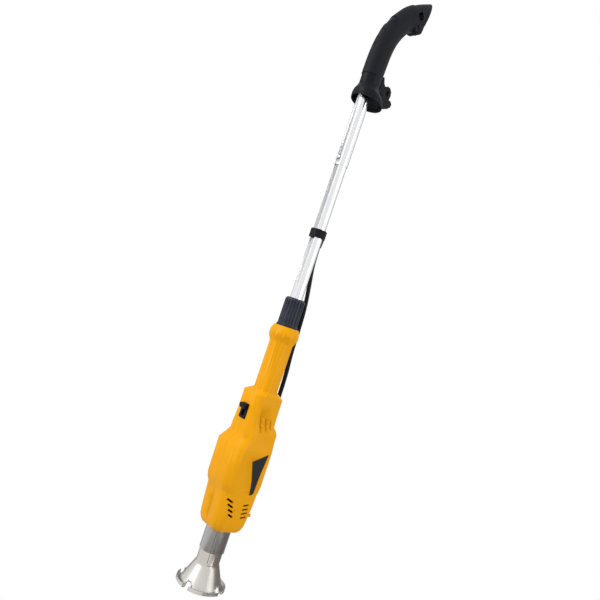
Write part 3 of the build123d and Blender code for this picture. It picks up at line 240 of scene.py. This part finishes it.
# %% [markdown]
# ## Dressing the solids
# The solids arrive as loose triangles, which can only shade flat. A copy of each is merged into one
# skin, shaded smooth except across real edges, and takes its finish. The copy then stands for the
# solid, rides on the same body, and keeps the solid's place.

# %% Which finish each piece takes
FINISHES = {
    "cone_nozzle": spun_metal,
    "air_tube": shield_metal,
    "heat_shield_tube": shield_metal,
    "mica_sleeve": mica,
    "heater_former": ceramic,
    "heater_coil": wire,
    "heater_end_disc": ceramic,
    "fan_impeller": black,
    "motor_shaft": plated,
    "motor_rotor": plated,
    "air_guide": grey,
    "motor_plate": plated,
    "motor_can": plated,
    "motor_magnets": iron,
    "motor_bearings": bronze,
    "brush_plate": grey,
    "housing_left": yellow,
    "housing_right": yellow,
    "housing_screws": plated,
    "side_plate": bare_plate,
    "switch_frame": black,
    "switch_slider": black,
    "control_board": board,
    "board_components": black,
    "strain_relief": boot_rubber,
    "pole_bush": black,
    "lower_tube": tube_metal,
    "upper_tube": tube_metal,
    "lock_sleeve": sleeve_black,
    "cord_collar": black,
    "snap_button": plated,
    "snap_spring": plated,
    "handle_left": black,
    "handle_right": black,
    "soft_grip": grip_rubber,
    "handle_screws": plated,
    "hand_guard": black,
    "cord_hook": black,
    "cord_clamp": black,
    "cord_tie": black,
    "plug_body": boot_rubber,
    "plug_pins": plated,
}


# %% Copy, merge, smooth, replace
SAME_POINT = 0.00001
SMOOTH_BELOW = math.radians(32)


def skin_of(node):
    """A copy of a solid as one merged and smoothed skin, which is left selected and active."""
    bpy.ops.object.select_all(action="DESELECT")
    piece = bpy.data.objects.new(node + ".dressed", frame["nodes"][node].data.copy())
    bpy.context.collection.objects.link(piece)
    piece.select_set(True)
    bpy.context.view_layer.objects.active = piece
    bpy.ops.object.mode_set(mode="EDIT")
    bpy.ops.mesh.select_all(action="SELECT")
    bpy.ops.mesh.remove_doubles(threshold=SAME_POINT)
    bpy.ops.object.mode_set(mode="OBJECT")
    bpy.ops.object.shade_smooth_by_angle(angle=SMOOTH_BELOW)
    return piece


def dress(node):
    piece = skin_of(node)
    piece.data.materials.clear()
    piece.data.materials.append(FINISHES[node].material)
    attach(piece, ITS_BODY[node])
    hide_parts(node)
    return piece


dressed = {node: dress(node) for node in FINISHES}
print("dressed", len(dressed), "solids")

# %% [markdown]
# ## The mains lead
# The lead leaves the boot upwards, follows the back of the grip, slips through the collar's channel
# and goes over behind the pole to a tied hank. It is one smooth curve: a NURBS line with a round
# bevel. Where it runs free its points are listed one by one. The hank's folds repeat, so a loop makes
# them: each end is half a circle, and every run lies a little deeper than the last.

# %% Listed route up the back and over
LEAD_RADIUS = 0.0034
ROUTE = [
    (0.0, 0.0315, 0.284),
    (0.0, 0.0315, 0.318),
    (0.0002, 0.0300, 0.352),
    (-0.0012, 0.0274, 0.384),
    (-0.0018, 0.0273, 0.424),
    (-0.0016, 0.0246, 0.462),
    (-0.0024, 0.0186, 0.498),
    (-0.00423, 0.01303, 0.532),
    (-0.00423, 0.01303, 0.594),
    (-0.0105, 0.0099, 0.628),
    (-0.0130, 0.0109, 0.664),
    (-0.0424, 0.0356, 0.686),
    (-0.0715, 0.0600, 0.663),
    (-0.0710, 0.0596, 0.612),
    (-0.0704, 0.0590, 0.552),
    (-0.0698, 0.0586, 0.488),
    (-0.0693, 0.0581, 0.422),
    (-0.0690, 0.0579, 0.362),
]

# %% Folds of the hank
FOLDS = 6
MIDDLE_RUN = FOLDS / 2
FOLD_RADIUS = 0.0210
RUN_STEP = 0.0034
STRAIGHT_IN = 0.7  # how far down its runs a fold reaches, in fold radii
WAIST_SIDE, WAIST_UP = 0.0036, 0.009  # where each run crosses the tied middle
LEAN = 0.0005
TURN_IN = 0.6  # of the crest's height, where the lead turns in to the first run and out of the last
HANK_TURN = math.radians(50)
HANK_SIDE = Vector((math.cos(HANK_TURN), math.sin(HANK_TURN), 0))
HANK_DEPTH = Vector((-HANK_SIDE.y, HANK_SIDE.x, 0))
PLUG_RUN_IN, PLUG_SEAT = 0.015, 0.002

hank_low, hank_high = (Vector(corner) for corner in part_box("cord_hank"))
hank_middle = (hank_low + hank_high) / 2
crest = hank_high.z - hank_middle.z - LEAD_RADIUS


def in_hank(side, run, up):
    """A point from the hank's middle: across, at the depth of a run, and up."""
    depth = (run - MIDDLE_RUN) * RUN_STEP
    return hank_middle + HANK_SIDE * side + HANK_DEPTH * depth + Vector((0, 0, up))


def fold(run, end):
    """Points round one end, from this run to the next. End is 1 at the top and -1 at the bottom."""
    corner = math.tan(math.radians(22.5))
    half = [(1, -STRAIGHT_IN), (1, corner), (corner, 1)]
    outline = half + [(-across, up) for across, up in reversed(half)]
    points = []
    for index, (across, up) in enumerate(outline):
        height = end * (crest + (up - 1) * FOLD_RADIUS)
        depth = run + index / (len(outline) - 1)
        points.append(in_hank(end * across * FOLD_RADIUS, depth, height))
    return points


hank_points = [in_hank(0, -1, crest + LEAD_RADIUS), in_hank(-LEAN, -1, crest * TURN_IN)]
for run in range(FOLDS + 1):
    start = 1 if run % 2 == 0 else -1
    for up in (start, -start):
        hank_points.append(in_hank(-start * WAIST_SIDE, run, up * WAIST_UP))
    if run < FOLDS:
        hank_points += fold(run, -start)
last_run = FOLDS + 1
hank_points.append(in_hank(-LEAN, last_run, -crest * TURN_IN))
hank_points.append(in_hank(0, last_run, -crest - LEAD_RADIUS))

plug_low, plug_high = (Vector(corner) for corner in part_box("plug_body"))
plug_top = (plug_low + plug_high) / 2
plug_top.z = plug_high.z
hank_points.append(plug_top + Vector((0, 0, PLUG_RUN_IN)))
hank_points.append(plug_top - Vector((0, 0, PLUG_SEAT)))

# %% One curve for the whole lead
line = bpy.data.curves.new("mains_lead", "CURVE")
line.dimensions = "3D"
line.bevel_depth = LEAD_RADIUS
line.bevel_resolution = 5
line.resolution_u = 8
spline = line.splines.new("NURBS")
points = [Vector(point) for point in ROUTE] + hank_points
spline.points.add(len(points) - 1)
for target, point in zip(spline.points, points):
    target.co = (*point, 1)
spline.order_u = 3
spline.use_endpoint_u = True
lead = bpy.data.objects.new("mains_lead", line)
bpy.context.collection.objects.link(lead)
line.materials.append(lead_rubber.material)
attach(lead, "tool")
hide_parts("power_cord", "cord_hank", "cord_tail")

# %% The curve's bare centre line, turned into a mesh
bare_line = line.copy()
bare_line.bevel_depth = 0
measure = bpy.data.objects.new("measure", bare_line)
bpy.context.collection.objects.link(measure)
track = bpy.data.meshes.new_from_object(measure)
bpy.data.objects.remove(measure)

# %% [markdown]
# ## A plain studio
# The surroundings show white to the camera and in reflections. Three large soft lamps and an even sky
# light the object, strong enough that a colour renders about as it is written. White all round would
# leave bright metal without an edge, so a few dim cards stand where only reflections find them.


# %% White surroundings
def white_to_camera(tree, shaded, white):
    """Mixes a shaded surface with plain white for rays from the camera and from reflections."""
    path = tree.nodes.new("ShaderNodeLightPath")
    mix = tree.nodes.new("ShaderNodeMixShader")
    either = tree.nodes.new("ShaderNodeMath")
    either.operation = "MAXIMUM"
    tree.links.new(path.outputs["Is Camera Ray"], either.inputs[0])
    tree.links.new(path.outputs["Is Glossy Ray"], either.inputs[1])
    tree.links.new(either.outputs[0], mix.inputs[0])
    tree.links.new(shaded, mix.inputs[1])
    tree.links.new(white, mix.inputs[2])
    return mix.outputs[0]


SKY_LIGHT, SKY_WHITE = 0.55, 1.0
world = bpy.data.worlds.new("studio")
bpy.context.scene.world = world
world.use_nodes = True
sky = world.node_tree
light_of_sky = sky.nodes["Background"]
look_of_sky = sky.nodes.new("ShaderNodeBackground")
for node, strength in ((light_of_sky, SKY_LIGHT), (look_of_sky, SKY_WHITE)):
    node.inputs["Color"].default_value = (1, 1, 1, 1)
    node.inputs["Strength"].default_value = strength
seen = white_to_camera(sky, light_of_sky.outputs[0], look_of_sky.outputs[0])
sky.links.new(seen, sky.nodes["World Output"].inputs[0])


# %% Directions as the camera sees them
AZIMUTH = math.radians(50.0)  # the camera stands this far round from the front, to the right
TO_CAMERA = Vector((math.sin(AZIMUTH), -math.cos(AZIMUTH), 0))
TO_RIGHT = Vector((math.cos(AZIMUTH), math.sin(AZIMUTH), 0))
UP = Vector((0, 0, 1))


# %% Cards that only reflections see, so that bright metal gets dark edges and sides
def card(name, low, high, colour):
    """An upright glowing sheet between two corners, each as steps to the camera, right and up."""
    corners = [low, (high[0], high[1], low[2]), high, (low[0], low[1], high[2])]
    points = [TO_CAMERA * near + TO_RIGHT * side + UP * height for near, side, height in corners]
    mesh = bpy.data.meshes.new(name)
    mesh.from_pydata(points, [], [(0, 1, 2, 3)])
    sheet = bpy.data.objects.new(name, mesh)
    bpy.context.collection.objects.link(sheet)
    paint = bpy.data.materials.new(name)
    paint.use_nodes = True
    glow = paint.node_tree.nodes.new("ShaderNodeEmission")
    glow.inputs["Color"].default_value = (*colour, 1.0)
    surface = paint.node_tree.nodes["Material Output"].inputs[0]
    paint.node_tree.links.new(glow.outputs[0], surface)
    mesh.materials.append(paint)
    sheet.visible_camera = False
    sheet.visible_diffuse = False
    sheet.visible_shadow = False
    sheet.visible_transmission = False


card("right_card", (-3.0, 0.8, -1.6), (1.4, 0.8, 0.45), (0.27, 0.24, 0.22))
card("near_card", (-0.4, 0.35, -0.3), (0.45, 0.35, 0.26), (0.22, 0.20, 0.19))
card("rear_card", (-0.9, -0.9, -0.6), (-0.9, 0.9, 1.5), (0.30, 0.31, 0.32))


# %% Lamps
def lamp(name, place, target, size, power):
    """A soft lamp at a place, turned to a target. Size is its width and height, in metres."""
    light = bpy.data.lights.new(name, "AREA")
    light.shape = "RECTANGLE"
    light.size, light.size_y = size
    light.energy = power
    stand = bpy.data.objects.new(name, light)
    bpy.context.collection.objects.link(stand)
    stand.location = place
    stand.rotation_euler = (Vector(target) - Vector(place)).to_track_quat("-Z", "Y").to_euler()


lamp("key", (-0.5, -2.2, 1.7), (0, 0, 0.5), (1.2, 1.6), 42)
lamp("side", (2.2, 0.9, 0.9), (0, 0, 0.45), (0.8, 1.8), 20)
lamp("back", (-1.2, 1.9, 1.4), (0, 0, 0.6), (1.0, 1.0), 14)

# %% [markdown]
# ## The camera
# The tool is seen from its front right, with the camera a little below its middle and turned so that
# the handle leans to the right. A camera is easiest to place from a few plain numbers: the direction
# it stands in, its distance, its height, the point it looks at and how far it is rolled.

# %% Camera from direction, distance, height and roll
DISTANCE, LEVEL = 1.00, 0.438
AIM_HEIGHT, AIM_RIGHT, ROLL = 0.468, 0.0064, math.radians(18.64)
SENSOR_WIDTH = 36  # millimetres
FOCAL_WIDTHS = 1.057  # the focal length, in sensor widths

stand_at = TO_CAMERA * DISTANCE + UP * LEVEL
aim = TO_RIGHT * AIM_RIGHT + UP * AIM_HEIGHT
back = (stand_at - aim).normalized()
level_right = UP.cross(back).normalized()
level_up = back.cross(level_right)
rolled_right = level_right * math.cos(ROLL) + level_up * math.sin(ROLL)
rolled_up = level_up * math.cos(ROLL) - level_right * math.sin(ROLL)
lens = bpy.data.cameras.new("camera")
lens.sensor_width = SENSOR_WIDTH
lens.lens = SENSOR_WIDTH * FOCAL_WIDTHS
camera = bpy.data.objects.new("camera", lens)
bpy.context.collection.objects.link(camera)
turned = Matrix((rolled_right, rolled_up, back)).transposed().to_4x4()
camera.matrix_world = Matrix.Translation(stand_at) @ turned
bpy.context.scene.camera = camera
bpy.context.scene.view_settings.view_transform = "Standard"
